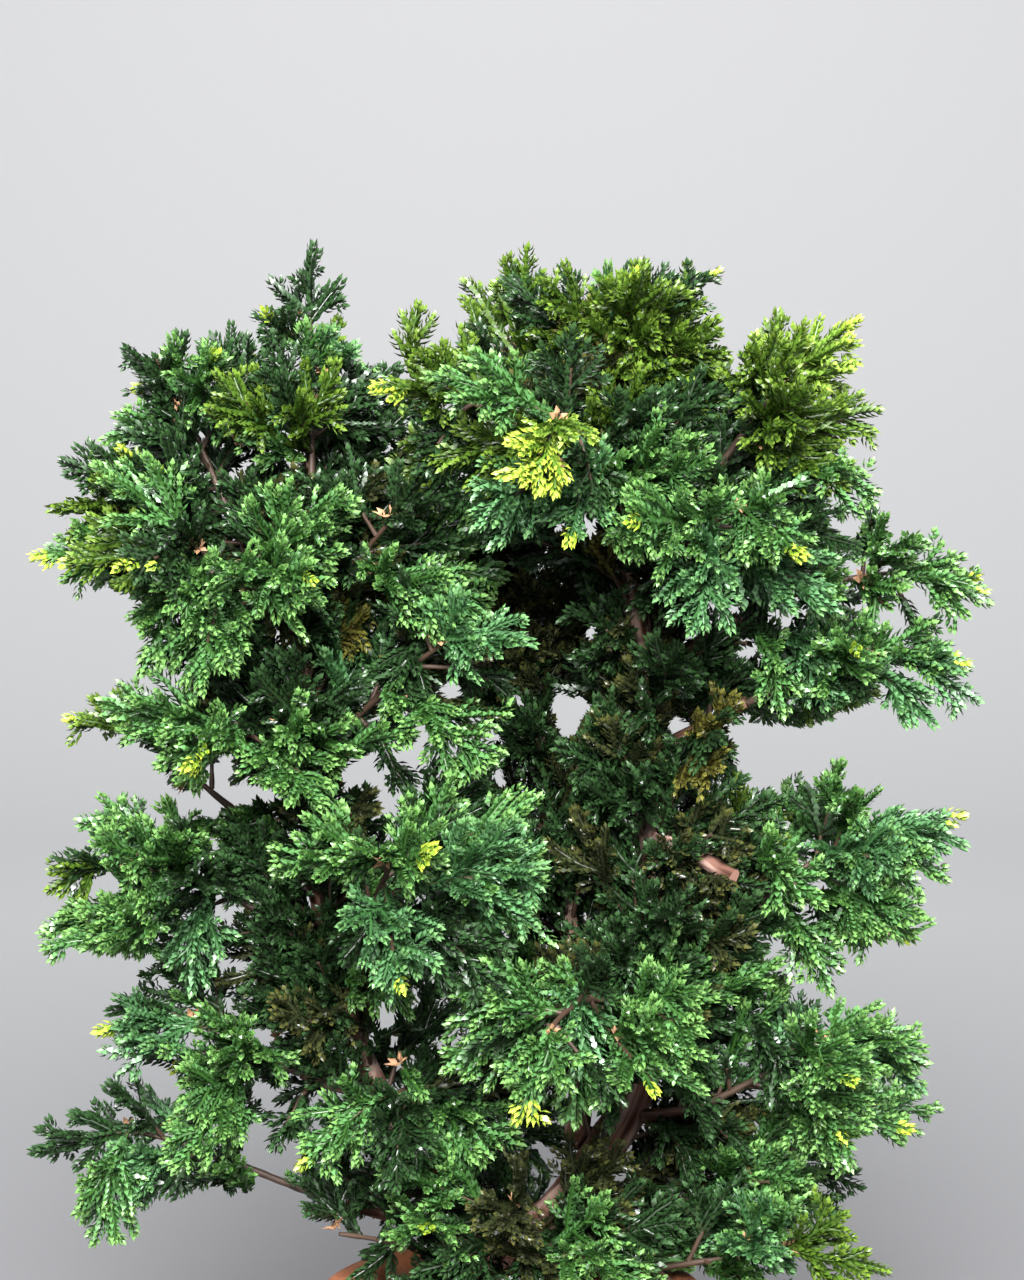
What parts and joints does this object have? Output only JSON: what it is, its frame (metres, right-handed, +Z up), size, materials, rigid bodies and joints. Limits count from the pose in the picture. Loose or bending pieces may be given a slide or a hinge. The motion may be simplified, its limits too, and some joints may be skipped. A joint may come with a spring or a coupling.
{
  "type": "potted dwarf hinoki cypress",
  "caption": "Small evergreen conifer with irregular tiers of flat fan sprays on thin forked stems, growing in a round tapered clay pot.",
  "frame": {"origin": "middle of the pot's flat underside", "axes": "+Z up along the pot's axis, -Y towards the plant's front, +X to its right seen from the front"},
  "size_m": [0.222, 0.1673, 0.3226],
  "materials": {
    "terracotta": "unglazed, matt, slightly mottled",
    "peat": "rough, moist",
    "bark": "fibrous, matt",
    "leaves": "waxy, semi-gloss"
  },
  "bodies": {
    "root": {"pot": "terracotta", "soil": "peat", "trunk": "bark", "left_stem": "bark", "back_stem": "bark", "left_front_low_bough": "bark", "left_front_bough": "bark", "front_branch_bough": "bark", "front_drop_bough": "bark", "right_front_bough": "bark", "high_left_bough": "bark", "left_arm_bough": "bark", "right_crest_bough": "bark", "right_arm_bough": "bark", "right_low_arm_bough": "bark", "left_tier_bough": "bark", "right_tier_bough": "bark", "right_tier_low_bough": "bark", "left_mid_low_bough": "bark", "left_bottom_bough": "bark", "rear_mid_bough": "bark", "left_front_low": "leaves", "left_front": "leaves", "front_branch": "leaves", "front_drop": "leaves", "top_front": "leaves", "right_front": "leaves", "crest_left": "leaves", "high_left": "leaves", "left_arm": "leaves", "left_small": "leaves", "center_left": "leaves", "inner_left": "leaves", "top_front_left": "leaves", "top_back": "leaves", "top_right": "leaves", "right_crest": "leaves", "right_arm": "leaves", "right_low_arm": "leaves", "left_tier": "leaves", "mid_right": "leaves", "right_tier": "leaves", "right_tier_low": "leaves", "left_mid_low": "leaves", "left_bottom": "leaves", "bottom_left": "leaves", "bottom_center": "leaves", "center_low": "leaves", "bottom_right": "leaves", "bottom_right_front": "leaves", "right_far": "leaves", "rear_top_left": "leaves", "rear_top_right": "leaves", "rear_mid_left": "leaves", "rear_mid": "leaves", "rear_mid_right": "leaves", "rear_low_left": "leaves", "rear_low": "leaves", "rear_low_right": "leaves", "rear_bottom": "leaves"}
  },
  "joints": []
}
